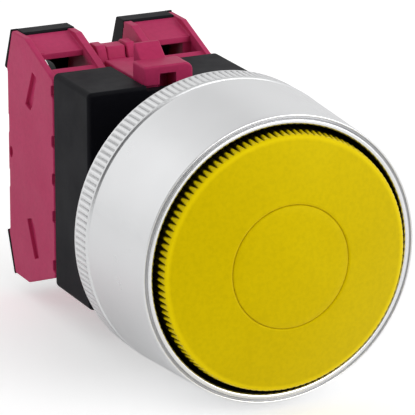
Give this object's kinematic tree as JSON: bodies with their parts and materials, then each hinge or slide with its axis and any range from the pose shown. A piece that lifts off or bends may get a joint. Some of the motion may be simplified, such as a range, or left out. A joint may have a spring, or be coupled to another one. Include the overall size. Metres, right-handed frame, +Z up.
{
  "type": "industrial push button",
  "caption": "Round mushroom-head momentary push button with a metal shroud ring, a panel neck, and two latched-on contact blocks behind the panel.",
  "frame": {"origin": "on the button axis, in the plane of the body collar face that seats against the back of the panel", "axes": "-Y the way the button faces, +Y behind the panel, +X right as seen by the operator, +Z up"},
  "size_m": [0.0466, 0.0746, 0.0466],
  "materials": {
    "cap_yellow": "injection-moulded, soft gloss",
    "disc_yellow": "injection-moulded, soft gloss",
    "satin_ring": "satin, fine turned grain",
    "black_plastic": "fine spark-eroded mould texture",
    "magenta_plastic": "semi-matt moulded",
    "ivory_plastic": "semi-matt moulded",
    "black_rubber": "matt",
    "spring_steel": "drawn wire",
    "zinc_steel": "bright zinc plating",
    "contact_brass": "stamped strip"
  },
  "bodies": {
    "operator": {"operator_body": "black_plastic", "body_rear_plate": "black_plastic", "rear_plate_screws": "zinc_steel", "block_carrier": "magenta_plastic", "latch_pins": "spring_steel", "return_spring": "spring_steel", "left_block_housing": "magenta_plastic", "left_rear_cover": "black_plastic", "left_contact_spring": "spring_steel", "left_fixed_contacts": "contact_brass", "left_clamp_washers": "zinc_steel", "left_terminal_screws": "zinc_steel", "right_block_housing": "magenta_plastic", "right_rear_cover": "black_plastic", "right_contact_spring": "spring_steel", "right_fixed_contacts": "contact_brass", "right_clamp_washers": "zinc_steel", "right_terminal_screws": "zinc_steel"},
    "push_button": {"button_cap": "cap_yellow", "cap_center_disc": "disc_yellow", "cap_screw": "zinc_steel", "plunger": "black_plastic", "plunger_oring": "black_rubber", "plunger_clip": "spring_steel", "pusher_plate": "black_plastic", "pusher_screw": "zinc_steel"},
    "panel_seal": {"thrust_washer": "zinc_steel", "panel_gasket": "black_rubber"},
    "shroud": {"shroud_ring": "satin_ring"},
    "upper_latch": {"upper_latch": "magenta_plastic"},
    "lower_latch": {"lower_latch": "magenta_plastic"},
    "left_contact": {"left_push_rod": "ivory_plastic", "left_contact_bridge": "contact_brass"},
    "right_contact": {"right_push_rod": "ivory_plastic", "right_contact_bridge": "contact_brass"}
  },
  "joints": [
    {"name": "button_press", "type": "slide", "parent": "operator", "child": "push_button", "axis": [0, 1, 0], "range_m": [0, 0.005], "stiffness_N_per_m": 1100, "springref_m": -0.007, "deforming": ["return_spring"]},
    {"name": "left_contact_travel", "type": "slide", "parent": "operator", "child": "left_contact", "axis": [0, 1, 0], "range_m": [0, 0.005], "deforming": ["left_contact_spring"]},
    {"name": "right_contact_travel", "type": "slide", "parent": "operator", "child": "right_contact", "axis": [0, 1, 0], "range_m": [0, 0.005], "deforming": ["right_contact_spring"]},
    {"name": "ring_advance", "type": "slide", "parent": "operator", "child": "panel_seal", "axis": [0, 1, 0], "range_m": [0, 0.005]},
    {"name": "ring_turn", "type": "hinge", "parent": "panel_seal", "child": "shroud", "pos_m": [0, -0.0105, 0], "axis": [0, 1, 0], "range_deg": [0, 1200]},
    {"name": "upper_latch_lift", "type": "hinge", "parent": "operator", "child": "upper_latch", "pos_m": [0, 0.0296, 0.0163], "axis": [-1, 0, 0], "range_deg": [0, 12]},
    {"name": "lower_latch_lift", "type": "hinge", "parent": "operator", "child": "lower_latch", "pos_m": [0, 0.0296, -0.0163], "axis": [1, 0, 0], "range_deg": [0, 12]}
  ],
  "couplings": [
    {"joint": "left_contact_travel", "follows": "button_press", "ratio": 1},
    {"joint": "right_contact_travel", "follows": "button_press", "ratio": 1},
    {"joint": "ring_advance", "follows": "ring_turn", "m_per_rad": 0.00023873}
  ]
}
